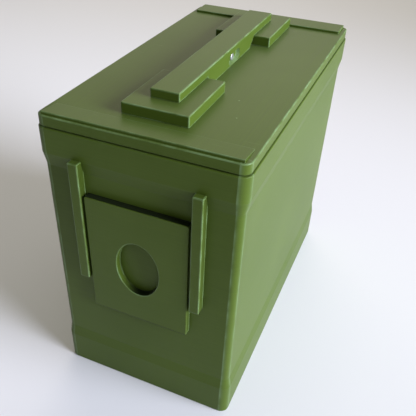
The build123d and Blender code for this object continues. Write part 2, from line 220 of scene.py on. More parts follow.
def finish_mesh(mesh):
    """Outward normals, smooth shading, and sharp lines where the surface really turns."""
    work = bmesh.new()
    work.from_mesh(mesh)
    bmesh.ops.recalc_face_normals(work, faces=work.faces)
    work.to_mesh(mesh)
    work.free()
    mesh.shade_smooth()
    mesh.set_sharp_from_angle(angle=SMOOTH_ANGLE)
    mesh.update()


def build(name, shells):
    """One object at the origin from one or more closed shells given in millimetres."""
    points, faces, wear_and_painted_light, first = [], [], [], 0
    for shell_points, shell_faces, shell_wear_and_painted_light in shells:
        points.append(shell_points)
        wear_and_painted_light.append(shell_wear_and_painted_light)
        faces += [[first + corner for corner in face] for face in shell_faces]
        first += len(shell_points)
    mesh = bpy.data.meshes.new(name)
    mesh.from_pydata((np.vstack(points) * MM).tolist(), [], faces)
    # the attribute holds worn edges, painted corner highlights and painted shade
    attribute = mesh.attributes.new("wear_and_painted_light", "FLOAT", "POINT")
    attribute.data.foreach_set("value", np.concatenate(wear_and_painted_light).astype(np.float32))
    finish_mesh(mesh)
    piece = bpy.data.objects.new(name, mesh)
    bpy.context.scene.collection.objects.link(piece)
    return piece


def cut(piece, cutters):
    """Takes closed shells out of a piece with Boolean modifiers, and applies them."""
    tools = [build(f"{piece.name}_tool_{i}", [tool]) for i, tool in enumerate(cutters)]
    for tool in tools:
        cutting = piece.modifiers.new("cut", "BOOLEAN")
        cutting.operation = "DIFFERENCE"
        cutting.solver = "EXACT"
        cutting.object = tool
    bpy.context.view_layer.update()
    graph = bpy.context.evaluated_depsgraph_get()
    cut_mesh = bpy.data.meshes.new_from_object(piece.evaluated_get(graph))
    piece.modifiers.clear()
    piece.data = cut_mesh
    for tool in tools:
        bpy.data.objects.remove(tool)
    piece.data.shade_smooth()
    piece.data.set_sharp_from_angle(angle=SMOOTH_ANGLE)


def dress(piece, body, slot, material, *nodes):
    """The piece rides on its body, takes its finish, and stands for its CAD nodes."""
    piece.data.materials.clear()
    piece.data.materials.append(material)
    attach(piece, body)
    if nodes:
        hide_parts(*nodes)
    print(f"{piece.name}: {len(piece.data.vertices)} points, {len(piece.data.polygons)} faces")


# %% [markdown]
# ## Finishes
# Node materials, all on Object coordinates, so that a pattern stays put when a part moves.  A small
# helper adds a node and connects its inputs in one call.

# %% A node helper
def add(tree, kind, inputs=None, **settings):
    """A new node; inputs maps socket names or numbers to values or to other nodes' outputs."""
    new = tree.nodes.new(kind)
    for key, value in settings.items():
        setattr(new, key, value)
    for key, value in (inputs or {}).items():
        if isinstance(value, bpy.types.NodeSocket):
            tree.links.new(value, new.inputs[key])
        else:
            new.inputs[key].default_value = value
    return new


def start_material(name):
    """An empty material with a Principled shader, its tree and its coordinates."""
    material = bpy.data.materials.new(name)
    material.use_nodes = True
    tree = material.node_tree
    shader = tree.nodes["Principled BSDF"]
    place = add(tree, "ShaderNodeTexCoord")
    return material, tree, shader, place


def maths(tree, operation, a, b=0.0):
    """One Math node's output."""
    return add(tree, "ShaderNodeMath", {0: a, 1: b}, operation=operation).outputs[0]


def noise(tree, vector, per_metre, detail=2.0):
    """Cloudy noise with about per_metre lumps to the metre."""
    return add(tree, "ShaderNodeTexNoise", {"Vector": vector, "Scale": per_metre,
                                            "Detail": detail}).outputs["Fac"]


def streaks(tree, vector, scale, turn=0.0):
    """Noise stretched into fine parallel streaks: one axis is sampled far more densely."""
    mapping = add(tree, "ShaderNodeMapping", {"Vector": vector, "Rotation": (0, 0, turn),
                                              "Scale": scale})
    return add(tree, "ShaderNodeTexNoise", {"Vector": mapping.outputs[0], "Scale": 1.0, "Detail": 2.0,
                                            "Roughness": 0.6}).outputs["Fac"]


def remap(tree, value, low, high, new_low=0.0, new_high=1.0):
    """The value moved in a straight line from one range to another, and kept inside it."""
    return add(tree, "ShaderNodeMapRange", {0: value, 1: low, 2: high, 3: new_low,
                                            4: new_high}).outputs[0]


def as_grey(tree, value):
    """A value as a grey colour, to multiply another colour with."""
    return add(tree, "ShaderNodeCombineColor", {0: value, 1: value, 2: value}).outputs[0]


def add_relief(tree, shader, height, strength, distance):
    """A fine relief; distance is its depth in metres."""
    bump = add(tree, "ShaderNodeBump", {"Height": height, "Strength": strength, "Distance": distance})
    tree.links.new(bump.outputs[0], shader.inputs["Normal"])


def blend_colour(tree, factor, a, b, mode="MIX"):
    """A colour mix; a and b are colours or outputs."""
    mix = add(tree, "ShaderNodeMix", {0: factor}, data_type="RGBA", blend_type=mode)
    for socket, value in ((6, a), (7, b)):
        if isinstance(value, bpy.types.NodeSocket):
            tree.links.new(value, mix.inputs[socket])
        else:
            mix.inputs[socket].default_value = (*value, 1)
    return mix.outputs[2]


# %% [markdown]
# ### Printed plastic
# Filament laid down in 0.2 mm layers: upright walls show level lines, and flat tops show the slanted
# passes of the nozzle.  The normal of the object tells the two apart.  Broad clouds of a slightly
# different green, pale edges where the attribute is above zero (worn edges, and painted highlight
# lines on the wide corners), painted shade where it is below, thin scratches on the handled tops and
# a few bits of dust complete it.

# %% Printed plastic
LAYER_PER_M = 2400.0          # streaks per metre up a wall, a little over two layers each
PASS_PER_M = 1300.0           # nozzle passes per metre across a flat top
PASS_ANGLE = math.radians(45)
FLAT_ABOVE = 0.75             # a face is a flat top once its normal points this far up or down
RIPPLE = 0.07                 # how far the layer lines darken and lighten the colour
RUB_LEAST, RUB_MOST = 0.15, 0.70        # how far worn edges turn pale, from place to place
# the colour of painted shade, laid where the attribute is below zero
PAINTED_SHADE_TONE = (0.010, 0.016, 0.004)
SCRATCH_STRETCH, SCRATCH_ANGLE = (30, 1500, 30), 0.55
SCRATCH_LEVEL, HANDLED_LEVEL, SCRATCH_STRENGTH = 0.70, 0.58, 0.35
DUST_CELL_PER_M, DUST_RADIUS = 190.0, 0.08      # the radius is a share of a cell


def printed_plastic(name, deep, light, pale_tone, roughness, dust):
    """Satin printed plastic; deep, light and the pale tone are its three tones, and dust is the share of
    cells that hold a speck.  The pale tone colours worn edges, the painted highlight lines on wide
    corners, scratches and dust.  Each step mixes one more layer over the colour before it."""
    material, tree, shader, place = start_material(name)
    coords = place.outputs["Object"]

    # the lines of the printer, level on walls and slanted on tops
    up = add(tree, "ShaderNodeSeparateXYZ", {0: place.outputs["Normal"]}).outputs["Z"]
    flat = maths(tree, "GREATER_THAN", maths(tree, "ABSOLUTE", up), FLAT_ABOVE)
    layers = streaks(tree, coords, (9, 9, LAYER_PER_M))
    passes = streaks(tree, coords, (PASS_PER_M, 11, 11), PASS_ANGLE)
    pattern = add(tree, "ShaderNodeMix", {0: flat, 2: layers, 3: passes}).outputs[0]

    # clouds of two greens, with the lines over them
    spread = remap(tree, noise(tree, coords, 16.0, 4.0), 0.32, 0.68)
    colour = blend_colour(tree, spread, deep, light)
    ripple = remap(tree, pattern, 0.3, 0.7, 1 - RIPPLE, 1 + RIPPLE)
    colour = blend_colour(tree, 1.0, colour, as_grey(tree, ripple), "MULTIPLY")

    # pale edges (worn, and painted highlight lines on wide corners) and painted shade, both from the
    # attribute
    wear_and_painted_light = add(tree, "ShaderNodeAttribute", attribute_name="wear_and_painted_light").outputs["Fac"]
    rub = remap(tree, noise(tree, coords, 120.0, 3.0), 0.35, 0.65, RUB_LEAST, RUB_MOST)
    colour = blend_colour(tree, maths(tree, "MULTIPLY", wear_and_painted_light, rub), colour, pale_tone)
    colour = blend_colour(tree, maths(tree, "MULTIPLY", wear_and_painted_light, -1.0), colour, PAINTED_SHADE_TONE)

    # scratches, only on flat tops and only where hands go
    scratch = maths(tree, "GREATER_THAN", streaks(tree, coords, SCRATCH_STRETCH, SCRATCH_ANGLE),
                    SCRATCH_LEVEL)
    handled = maths(tree, "GREATER_THAN", noise(tree, coords, 26.0, 1.0), HANDLED_LEVEL)
    scratch = maths(tree, "MULTIPLY", maths(tree, "MULTIPLY", scratch, handled), flat)
    colour = blend_colour(tree, maths(tree, "MULTIPLY", scratch, SCRATCH_STRENGTH), colour, pale_tone)

    # dust: a speck in the middle of a few cells
    cells = add(tree, "ShaderNodeTexVoronoi", {"Vector": coords, "Scale": DUST_CELL_PER_M})
    draw = add(tree, "ShaderNodeSeparateColor", {0: cells.outputs["Color"]}).outputs[0]
    chosen = maths(tree, "GREATER_THAN", draw, 1 - dust)
    near = maths(tree, "LESS_THAN", cells.outputs["Distance"], DUST_RADIUS)
    colour = blend_colour(tree, maths(tree, "MULTIPLY", chosen, near), colour, pale_tone)
    tree.links.new(colour, shader.inputs["Base Color"])

    # the shine changes a little with the lines, and lines and grain make a faint relief
    gloss = maths(tree, "ADD", maths(tree, "MULTIPLY", pattern, 0.10), roughness - 0.05)
    tree.links.new(gloss, shader.inputs["Roughness"])
    relief = maths(tree, "ADD", pattern, maths(tree, "MULTIPLY", noise(tree, coords, 2600.0, 2.0), 0.35))
    add_relief(tree, shader, relief, 0.22, 0.00006)
    shader.inputs["IOR"].default_value = 1.25
    shader.inputs["Sheen Weight"].default_value = 0.03
    shader.inputs["Sheen Roughness"].default_value = 0.4
    return material


olive = printed_plastic("olive_printed_plastic", (0.057, 0.093, 0.009), (0.068, 0.107, 0.013),
                        (0.165, 0.255, 0.115), roughness=0.42, dust=0.025)
grey = printed_plastic("grey_printed_plastic", (0.11, 0.115, 0.12), (0.14, 0.145, 0.15),
                       (0.26, 0.27, 0.28), roughness=0.45, dust=0.004)
print("printed plastics:", olive.name, grey.name)


# %% [markdown]
# ### Steel, rubber and felt
# The screws and the hinge rod are plain zinc-coated steel, dulled by use: fine turned scratches, and
# patches that lean to yellow.  The seal is matt black rubber.  The felt is needled ceramic fibre:
# short fibres in every direction, pale, with a soft sheen.

# %% Steel, rubber and felt
def zinc_steel():
    """Metal in two close greys, with scratches along X that change its shine and its relief."""
    material, tree, shader, place = start_material("zinc_plated_steel")
    coords = place.outputs["Object"]
    scratch = streaks(tree, coords, (300, 3000, 3000))
    colour = blend_colour(tree, noise(tree, coords, 700.0), (0.42, 0.42, 0.36), (0.54, 0.56, 0.56))
    tree.links.new(colour, shader.inputs["Base Color"])
    gloss = maths(tree, "ADD", maths(tree, "MULTIPLY", scratch, 0.22), 0.42)
    tree.links.new(gloss, shader.inputs["Roughness"])
    add_relief(tree, shader, scratch, 0.15, 0.00003)
    shader.inputs["Metallic"].default_value = 1.0
    return material


def seal_rubber():
    """Matt black, a little uneven."""
    material, tree, shader, place = start_material("black_seal_rubber")
    skin = noise(tree, place.outputs["Object"], 900.0, 4.0)
    colour = blend_colour(tree, skin, (0.012, 0.012, 0.013), (0.030, 0.030, 0.031))
    tree.links.new(colour, shader.inputs["Base Color"])
    gloss = maths(tree, "ADD", maths(tree, "MULTIPLY", skin, 0.2), 0.5)
    tree.links.new(gloss, shader.inputs["Roughness"])
    add_relief(tree, shader, skin, 0.2, 0.0001)
    return material


def needled_felt():
    """Two sets of crossing fibres, the higher of which shows, over broader clumps."""
    material, tree, shader, place = start_material("needled_felt")
    coords = place.outputs["Object"]
    one_way = streaks(tree, coords, (260, 2200, 2200), 0.6)
    other_way = streaks(tree, coords, (2200, 260, 1500), 0.35)
    fibres = maths(tree, "MAXIMUM", one_way, other_way)
    clumps = noise(tree, coords, 130.0, 5.0)
    pale = blend_colour(tree, clumps, (0.44, 0.42, 0.38), (0.66, 0.64, 0.59))
    shade = as_grey(tree, remap(tree, fibres, 0.45, 0.7, 0.82, 1.0))
    tree.links.new(blend_colour(tree, 1.0, pale, shade, "MULTIPLY"), shader.inputs["Base Color"])
    add_relief(tree, shader, maths(tree, "ADD", fibres, clumps), 0.7, 0.0004)
    shader.inputs["Roughness"].default_value = 0.95
    shader.inputs["Sheen Weight"].default_value = 0.35
    return material


steel, rubber, felt = zinc_steel(), seal_rubber(), needled_felt()
print("metal, rubber and felt:", [finish.name for finish in (steel, rubber, felt)])

# %% [markdown]
# ## The tub
# One profile makes the whole tub.  It starts under the foot, climbs the foot band, leans in over the
# flare, runs up the recessed wall, leans out through the neck to the rim band, crosses the rim and
# goes down the inside to the floor.  Carried round the rounded rectangle it is a closed shell.

# %% The tub's walls
tub_low, tub_high = box_mm("body_tub")
rim_half_x, rim_half_y, rim_top = tub_high[0], -tub_low[1], tub_high[2]
RIM_STEP, FOOT_STEP, WALL, FLOOR = 1.3, 1.1, 3.0, 3.2
FOOT_TOP, FLARE_TOP, NECK_BOTTOM, NECK_TOP = 20.2, 27.1, 136.7, 143.2
CORNER = 3.5                  # mm, radius of the upright corners
# the second number is the strength of the painted highlight lines along the upright corners
CORNER_STEPS, CORNER_HIGHLIGHT = 6, 1.2
CREASE_LOW, CREASE_HIGH, CREASE_WEAR = 10, 150, 0.06      # creases in the walls hardly wear
RIM_WEAR, RIM_PAINTED_SHADE = 0.2, 0.4          # share of full wear, and mm of painted shade below the rim's top
wall_outline = rectangle(rim_half_x - RIM_STEP, rim_half_y - RIM_STEP)

tub_line, tub_wear_and_shade = profile(
    [(-6, 0), (FOOT_STEP, 0), (FOOT_STEP, FOOT_TOP), (0, FLARE_TOP), (0, NECK_BOTTOM),
     (RIM_STEP, NECK_TOP), (RIM_STEP, rim_top), (-WALL, rim_top), (-WALL, FLOOR), (-8, FLOOR)],
    [0.7, 1.5, 3.0, 3.0, 2.0, 0.45, 0.45, 1.2])
line_grow, line_height = tub_line.T
tub_wear_and_shade[(line_height > CREASE_LOW) & (line_height < CREASE_HIGH)] *= CREASE_WEAR
tub_wear_and_shade[line_height > rim_top - 1] *= RIM_WEAR
tub_wear_and_shade[(line_height > rim_top - RIM_PAINTED_SHADE) & (line_grow > -1)] = -1        # painted shade in the seam
# painted highlight: two pale lines along each upright corner of the tub, and below of the lid
corner_highlight = corner_highlight_lines(CORNER_STEPS, CORNER_HIGHLIGHT)
tub = build("tub_walls", [prism(wall_outline, CORNER, tub_line, tub_wear_and_shade, steps=CORNER_STEPS,
                                 corner_highlight=corner_highlight)])

# %% The tub's notches and slots
pin_low, pin_high = box_mm("hinge_pin")
HINGE_Y, HINGE_Z = (pin_low[1] + pin_high[1]) / 2, (pin_low[2] + pin_high[2]) / 2
KNUCKLE, GAP, BORE = 2.9, 0.4, 1.6
LID_KNUCKLES = ((-20.4, -8.4), (8.4, 20.4))
TUB_KNUCKLES = ((-30.0, -20.8), (-8.0, 8.0), (20.8, 30.0))
bush_low, bush_high = box_mm("slot_bushes")
latch = next(j for j in frame["joints"] if j["name"] == "latch_slide")
latch_travel = latch["range_m"][1] / MM


def plain_block(x0, x1, y0, y1, z0, z1):
    """A sharp box for cutting."""
    line = np.array([(0.0, z0), (0.0, z1)])
    return prism(span(x0, x1, y0, y1), 0.05, line, [0, 0], steps=1)


reach = KNUCKLE + GAP
notches = [plain_block(x0 - GAP, x1 + GAP, HINGE_Y - reach, HINGE_Y + reach + 1, HINGE_Z - reach,
                       rim_top + 1) for x0, x1 in LID_KNUCKLES]
slots = []
BUSH_PLAY = 0.3
bush_radius = (bush_high[2] - bush_low[2]) / 2
wall_front = rim_half_y - RIM_STEP
through_wall = np.array([(0.0, wall_front - WALL - 1), (0.0, wall_front + 1)])
for side in (-1, 1):
    slot_x = side * (bush_high[0] - bush_radius)
    slot_outline = span(slot_x - bush_radius - BUSH_PLAY, slot_x + bush_radius + BUSH_PLAY,
                        bush_low[2] - BUSH_PLAY, bush_high[2] + latch_travel + BUSH_PLAY)
    slots.append(prism(slot_outline, bush_radius + BUSH_PLAY - 0.01, through_wall, [0, 0], FORWARD,
                       hold=0.004))
cut(tub, notches + slots)
dress(tub, "box", "green_plastic", olive, "body_tub")


# %% [markdown]
# ## Knuckles
# Short barrels around the hinge rod: three on the tub, two on the lid.  Each is a ring-shaped solid,
# so its rings go round the outside, over the end face, through the bore and back.  Every point of
# the bore lies on the ray from the hole's centre to its point of the outline.

# %% Rings round a hole
def round_hole(points, centre, radius_x, radius_y):
    """For each point of an outline, the point of the oval in the same direction from the centre."""
    away = (points - centre) / (radius_x, radius_y)
    return centre + unit(away) * (radius_x, radius_y)


def denser(points, spacing):
    """Positions along a closed outline, as fractional point numbers, with no gap over the spacing."""
    closed = np.vstack([points, points[:1]])
    along = np.r_[0, np.cumsum(np.linalg.norm(np.diff(closed, axis=0), axis=1))]
    extra = np.arange(0, along[-1], spacing)
    clear = np.abs(extra[:, None] - along[None]).min(1) > spacing / 3
    return np.interp(np.sort(np.r_[along[:-1], extra[clear]]), along, np.arange(len(closed)))


def pick(values, where):
    """The outline's points, or its wear, at fractional point numbers."""
    closed = np.concatenate([values, values[:1]])
    whole = np.minimum(where.astype(int), len(values) - 1)
    part = where - whole
    if closed.ndim == 2:
        part = part[:, None]
    return closed[whole] * (1 - part) + closed[whole + 1] * part


def holed(outline, radii, centre, radius_x, radius_y, low, high, edge, axes, spacing=1.0, foot=0.0):
    """A plate from low to high with round outer edges and an oval hole with round edges.

    One set of rings goes up the outside and a second one comes down the hole, each ring made from
    the same points of the outline, and the last is joined to the first.  foot spreads the lowest
    edge: outwards on the outside, and into the hole."""
    foot_top = low + max(foot, 0.3)
    outer_line, outer_wear = profile([(-1.0, low), (foot, low), (0, foot_top), (0, high), (-1.0, high)],
                                     [0.06, 0.06, edge])
    hole_line, hole_wear = profile([(1.0, high), (0, high), (0, foot_top), (-foot, low), (1.0, low)],
                                   [edge, 0.06, 0.06])
    where = denser(ring(outline, radii)[0], spacing)
    rings, wear_and_painted_light = [], []
    for (grow, height), pale_tone in zip(outer_line, outer_wear):
        flat, flat_wear = ring(outline, radii, grow)
        flat = pick(flat, where)
        rings.append(np.column_stack([flat, np.full(len(flat), height)]))
        wear_and_painted_light.append(np.maximum(pick(flat_wear, where), pale_tone) * (grow >= 0))
    for (grow, height), pale_tone in zip(hole_line, hole_wear):
        flat = round_hole(pick(ring(outline, radii)[0], where), centre, radius_x + grow,
                          radius_y + grow)
        rings.append(np.column_stack([flat, np.full(len(flat), height)]))
        wear_and_painted_light.append(np.full(len(flat), pale_tone))
    return shell(np.array(rings) @ np.array(axes, float), np.array(wear_and_painted_light), closed=True)


sample = holed(rectangle(10, 5), 1.0, np.zeros(2), 3.0, 3.0, 0.0, 2.0, 0.3, UP)
print("a small plate with a hole:", len(sample[0]), "points")

# %% Both sets of knuckles
BARREL_ROOT = 1.8             # mm, how deep a barrel reaches into the wall
BARREL_ROUND = KNUCKLE - 0.05
BARREL_EDGE, BARREL_SPACING = 0.35, 0.6
hinge_centre = np.array([HINGE_Y, HINGE_Z])
barrel_bottom, barrel_back, barrel_top = HINGE_Z - KNUCKLE, HINGE_Y + KNUCKLE, HINGE_Z + KNUCKLE
tub_barrel = np.array([(rim_half_y - BARREL_ROOT, barrel_bottom), (barrel_back, barrel_bottom),
                       (barrel_back, barrel_top), (rim_half_y - BARREL_ROOT, barrel_top)])
tub_knuckles = build("tub_knuckles", [
    holed(tub_barrel, [0.2, BARREL_ROUND, BARREL_ROUND, 0.2], hinge_centre, BORE, BORE, x0, x1,
          BARREL_EDGE, ACROSS, BARREL_SPACING)
    for x0, x1 in TUB_KNUCKLES])
dress(tub_knuckles, "box", "green_plastic", olive, "body_tub")

lid_low, lid_high = box_mm("lid_shell")
lid_half_x, lid_half_y = lid_high[0], -lid_low[1]
ARM_TOP, ARM_SLOPE = 160.0, 1.8         # the arm joins the lid with a slanted corner
lid_barrel = np.array([(HINGE_Y - KNUCKLE, barrel_bottom), (barrel_back, barrel_bottom),
                       (barrel_back, ARM_TOP - ARM_SLOPE), (barrel_back - ARM_SLOPE, ARM_TOP),
                       (lid_half_y - 0.6, ARM_TOP), (lid_half_y - 0.6, barrel_top),
                       (HINGE_Y - KNUCKLE, barrel_top - 1.6)])
lid_knuckles = build("lid_knuckles", [
    holed(lid_barrel, [BARREL_ROUND, BARREL_ROUND, 0.5, 0.5, 0.1, 0.1, 0.5], hinge_centre, BORE, BORE,
          x0, x1, BARREL_EDGE, ACROSS, BARREL_SPACING)
    for x0, x1 in LID_KNUCKLES])
dress(lid_knuckles, "lid", "green_plastic", olive, "lid_shell")

# %% [markdown]
# ## The lid
# Again one profile, this time starting in the middle of the top: over the outer edge, down the side
# band, along the border with the seal's groove in it, up into the recess, down and up again round
# the lip that sits inside the tub.  The two raised strips are laid on top of it.

# %% The lid
SEAM = 0.65                   # mm, the open seam between tub and lid
LID_BOTTOM = rim_top + SEAM
lid_top = box_mm("front_handle_pad")[0][2]
LID_UNDER = lid_top - 3.0
LIP_BOTTOM = 152.0
BORDER = 4.0
GROOVE_OUTER, GROOVE_INNER, GROOVE_DEPTH = 0.9, 3.1, 1.2
LIP_OUTER, LIP_INNER = 5.7, 7.7         # both measured inwards from the lid's edge
STRIP_HEIGHT, STRIP_INSET, STRIP_LEDGE, WEDGE_DEPTH = 1.4, 2.7, 1.2, 13.8
strip_base = lid_top - 0.5              # the strips are sunk a little into the lid
lid_line, lid_wear_and_shade = profile(
    [(-6, lid_top), (0, lid_top), (0, LID_BOTTOM), (-GROOVE_OUTER, LID_BOTTOM),
     (-GROOVE_OUTER, LID_BOTTOM + GROOVE_DEPTH), (-GROOVE_INNER, LID_BOTTOM + GROOVE_DEPTH),
     (-GROOVE_INNER, LID_BOTTOM), (-BORDER, LID_BOTTOM), (-BORDER, LID_UNDER), (-LIP_OUTER, LID_UNDER),
     (-LIP_OUTER, LIP_BOTTOM), (-LIP_INNER, LIP_BOTTOM), (-LIP_INNER, LID_UNDER), (-12, LID_UNDER)],
    [0.5, 0.25, 0.06, 0.06, 0.06, 0.06, 0.1, 0.1, 0.1, 0.4, 0.4, 0.1], hold=0.12)
line_grow, line_height = lid_line.T
lid_wear_and_shade[line_height < LID_BOTTOM + 1] *= RIM_WEAR
lid_wear_and_shade[(line_height < LID_BOTTOM + 0.2) & (line_grow > -3)] = -1           # painted shade in the seam
lid_outline = rectangle(lid_half_x, lid_half_y)
lid_skin = prism(lid_outline, CORNER + 0.7, lid_line, lid_wear_and_shade, steps=CORNER_STEPS,
                 corner_highlight=corner_highlight)

strip_half_x = lid_half_x - STRIP_INSET
wedge_front = -lid_half_y + STRIP_LEDGE
wedge_back = -lid_half_y + WEDGE_DEPTH
wedge = np.array([(wedge_back, strip_base), (wedge_back, lid_top),
                  (wedge_front, lid_top + STRIP_HEIGHT), (wedge_front, strip_base)])
wedge_strip = slab(wedge, [0.1, 0.05, 0.3, 0.1], -strip_half_x, strip_half_x, 0.08, ACROSS, inset=0.2)
REAR_STRIP_FRONT = box_mm("rear_handle_pad")[1][1] + 0.1
rear_strip = slab(span(-strip_half_x, strip_half_x, REAR_STRIP_FRONT, lid_half_y - 0.4), 0.6,
                  strip_base, lid_top + STRIP_HEIGHT, 0.3)
lid = build("lid_shell_skin", [lid_skin, wedge_strip, rear_strip])
dress(lid, "lid", "green_plastic", olive, "lid_shell")

# %% [markdown]
# ## The latch
# The plate is a ring-shaped solid too, because of its oval finger hole.  Its back edge spreads a
# little, as the first printed layer does.  Each rail is a slab whose foot is a small glue fillet.
# The plate's two flanges reach under the rails; here they simply end inside them, out of sight.

# %% Painted shade on the latch parts
EDGE_BAND = 0.45              # mm, the lowest part of a plate or rail, which gets painted shade
# how dark the painted shade is on the lower edge, and on the flat of the right side
EDGE_PAINTED_SHADE, SIDE_PAINTED_SHADE = 0.9, 0.35


def with_painted_shade(shell_data, right, bottom):
    """Painted shade along the lower edge, and a lighter painted shade on the flat of the side at x =
    right.
    """
    points, faces, wear_and_painted_light = shell_data
    side_painted_shade = (points[:, 0] > right - 0.02) & (wear_and_painted_light == 0)
    lower_edge = points[:, 2] < bottom + EDGE_BAND
    return points, faces, np.where(lower_edge, -EDGE_PAINTED_SHADE, np.where(side_painted_shade, -SIDE_PAINTED_SHADE, wear_and_painted_light))


# the band of painted shade on the lower edges
print("shade_painted edge:", EDGE_BAND, "mm high")

# %% Latch plate and rails
plate_low, plate_high = box_mm("latch_plate")
PLATE_HALF_X, PLATE_CORNER, PLATE_EDGE, PLATE_FOOT = 26.8, 0.9, 0.35, 0.35
plate_front, plate_back = -plate_low[1], -plate_high[1]
PLATE_BOTTOM, PLATE_TOP = plate_low[2], plate_high[2]
HOLE_Z, HOLE_RX, HOLE_RZ = 90.7, 11.6, 16.3
plate_outline = span(-PLATE_HALF_X, PLATE_HALF_X, PLATE_BOTTOM, PLATE_TOP)
plate_shell = holed(plate_outline, PLATE_CORNER, np.array([0.0, HOLE_Z]), HOLE_RX, HOLE_RZ,
                    plate_back, plate_front, PLATE_EDGE, FORWARD, spacing=2.0, foot=PLATE_FOOT)
plate_points, plate_faces, plate_wear_and_shade = with_painted_shade(plate_shell, PLATE_HALF_X, PLATE_BOTTOM)

# Painted shade lies on the plate's top edge and in the hole, darkest low on its right.  across and above
# are measured from the hole's middle in hole radii, so their hypotenuse is 1 on the hole's wall.
behind_face = plate_front + plate_points[:, 1]
on_top = plate_points[:, 2] > PLATE_TOP - 0.3
across, above = plate_points[:, 0] / HOLE_RX, (plate_points[:, 2] - HOLE_Z) / HOLE_RZ
in_hole = np.hypot(across, above) < 1.06
hole_painted_shade = np.clip(0.75 * across - 1.1 * above, 0, 1) * in_hole
painted_shade = np.where(behind_face > 0.3, np.maximum(on_top, hole_painted_shade), 0)
plate_wear_and_shade = np.where(painted_shade > 0, -painted_shade, plate_wear_and_shade)

FLANGE_X, FLANGE_LOW, FLANGE_HIGH, FLANGE_THICK = plate_high[0], 82.0, 124.0, 1.8
flanges = []
for side in (-1, 1):
    flange_outline = span(*sorted((side * (PLATE_HALF_X - 1), side * FLANGE_X)), FLANGE_LOW, FLANGE_HIGH)
    flanges.append(slab(flange_outline, 0.3, plate_back, plate_back + FLANGE_THICK, 0.2, FORWARD,
                        inset=0.4))
plate = build("latch_face", [(plate_points, plate_faces, plate_wear_and_shade), *flanges])
dress(plate, "latch", "green_plastic", olive, "latch_plate")

RAIL_CORNER, RAIL_EDGE, RAIL_FOOT = 0.4, 0.5, 0.45
rail_low, rail_high = box_mm("right_latch_rail")
for side, word in ((1, "right"), (-1, "left")):
    rail_outline = span(*sorted((side * rail_low[0], side * rail_high[0])), rail_low[2], rail_high[2])
    rail_shell = slab(rail_outline, RAIL_CORNER, wall_front - 0.2, -rail_low[1], RAIL_EDGE, FORWARD,
                      foot=RAIL_FOOT)
    rail = build(f"{word}_rail", [with_painted_shade(rail_shell, rail_outline[:, 0].max(), rail_low[2])])
    dress(rail, "box", "green_plastic", olive, f"{word}_latch_rail")

# %% [markdown]
# ## The handle
# Two low pads under a bar.  The bar's side view is the shape that matters: thin over the pads, and
# with a deep middle whose slanted ends reach down to the lid.  An oval recess is cut into its right
# side, and at its bottom is the screw that ties the bar to the lid.

# %% Pads and bar
for node in ("front_handle_pad", "rear_handle_pad"):
    low, high = box_mm(node)
    pad = build(node.replace("handle_", ""), [slab(span(low[0], high[0], low[1], high[1]), 0.5,
                                                    low[2] - 0.1, high[2], 0.4)])
    dress(pad, "lid", "green_plastic", olive, node)

bar_low, bar_high = box_mm("handle_bar")
pad_top = box_mm("front_handle_pad")[1][2]
bar_middle = (bar_low[1] + bar_high[1]) / 2
HALF_FOOT, HALF_GAP = 28.4, 34.9        # half lengths of the deep middle, at the lid and at the pads
side_view = np.array([
    (bar_low[1], pad_top), (bar_middle - HALF_GAP, pad_top), (bar_middle - HALF_FOOT, lid_top - 0.2),
    (bar_middle + HALF_FOOT, lid_top - 0.2), (bar_middle + HALF_GAP, pad_top), (bar_high[1], pad_top),
    (bar_high[1], bar_high[2]), (bar_low[1], bar_high[2])])
bar = build("grip_bar", [slab(side_view, [0.2, 0.4, 0.3, 0.3, 0.4, 0.2, 0.5, 0.5], bar_low[0],
                              bar_high[0], 0.5, ACROSS)])

# %% The oval recess and its screw
screw_low, screw_high = box_mm("handle_cross_screw")
eye_y, eye_z = (screw_low[1] + screw_high[1]) / 2, (screw_low[2] + screw_high[2]) / 2
EYE_RADIUS, EYE_LENGTH, EYE_MIDDLE = 3.0, 16.4, 3.3         # an oval with straight long sides
EYE_DEPTH, EYE_SLOPE = 1.8, 0.9         # its wall leans in by the slope on the way down
HEAD_RADIUS, HEAD_HEIGHT, SHANK_RADIUS = 2.0, 0.8, 1.2
side_x = bar_high[0]


def round_outline(radius):
    """A square around the screw's axis, whose corners get rounded until it is a circle."""
    return span(eye_y - radius, eye_y + radius, eye_z - radius, eye_z + radius)


head_base = side_x - EYE_DEPTH
eye_line, _ = profile([(-EYE_SLOPE - 1, head_base), (-EYE_SLOPE, head_base), (0, side_x),
                       (0.5, side_x + 0.5), (-1, side_x + 0.5)], [0.3, 0.1, 0.1])
eye_outline = span(EYE_MIDDLE - EYE_LENGTH / 2, EYE_MIDDLE + EYE_LENGTH / 2,
                   eye_z - EYE_RADIUS, eye_z + EYE_RADIUS)
eye = prism(eye_outline, EYE_RADIUS - 0.01, eye_line, np.zeros(len(eye_line)), ACROSS, steps=10,
            hold=0.002)
cut(bar, [eye])
dress(bar, "lid", "green_plastic", olive, "handle_bar")

head_line, _ = profile([(-0.9, head_base), (0, head_base), (0, head_base + HEAD_HEIGHT),
                        (-0.9, head_base + HEAD_HEIGHT)], [0.1, 0.5], hold=0.05)
head = prism(round_outline(HEAD_RADIUS), HEAD_RADIUS - 0.01, head_line, np.zeros(len(head_line)), ACROSS,
             steps=8, hold=0.002)
shank_line = np.array([(0.0, screw_low[0]), (0.0, head_base)])
shank = prism(round_outline(SHANK_RADIUS), SHANK_RADIUS - 0.01, shank_line, [0, 0], ACROSS, steps=6,
              hold=0.002)
cross_screw = build("grip_screw", [head, shank])
dress(cross_screw, "lid", "zinc_steel", steel, "handle_cross_screw")

# %% [markdown]
# ## Seal and felt
# The seal is a soft strip in the lid's groove: a small closed section carried round the lid.  The
# felt boards are cut with rounded edges and have a pressed line round their border, where the layers
# were sewn together before cutting.

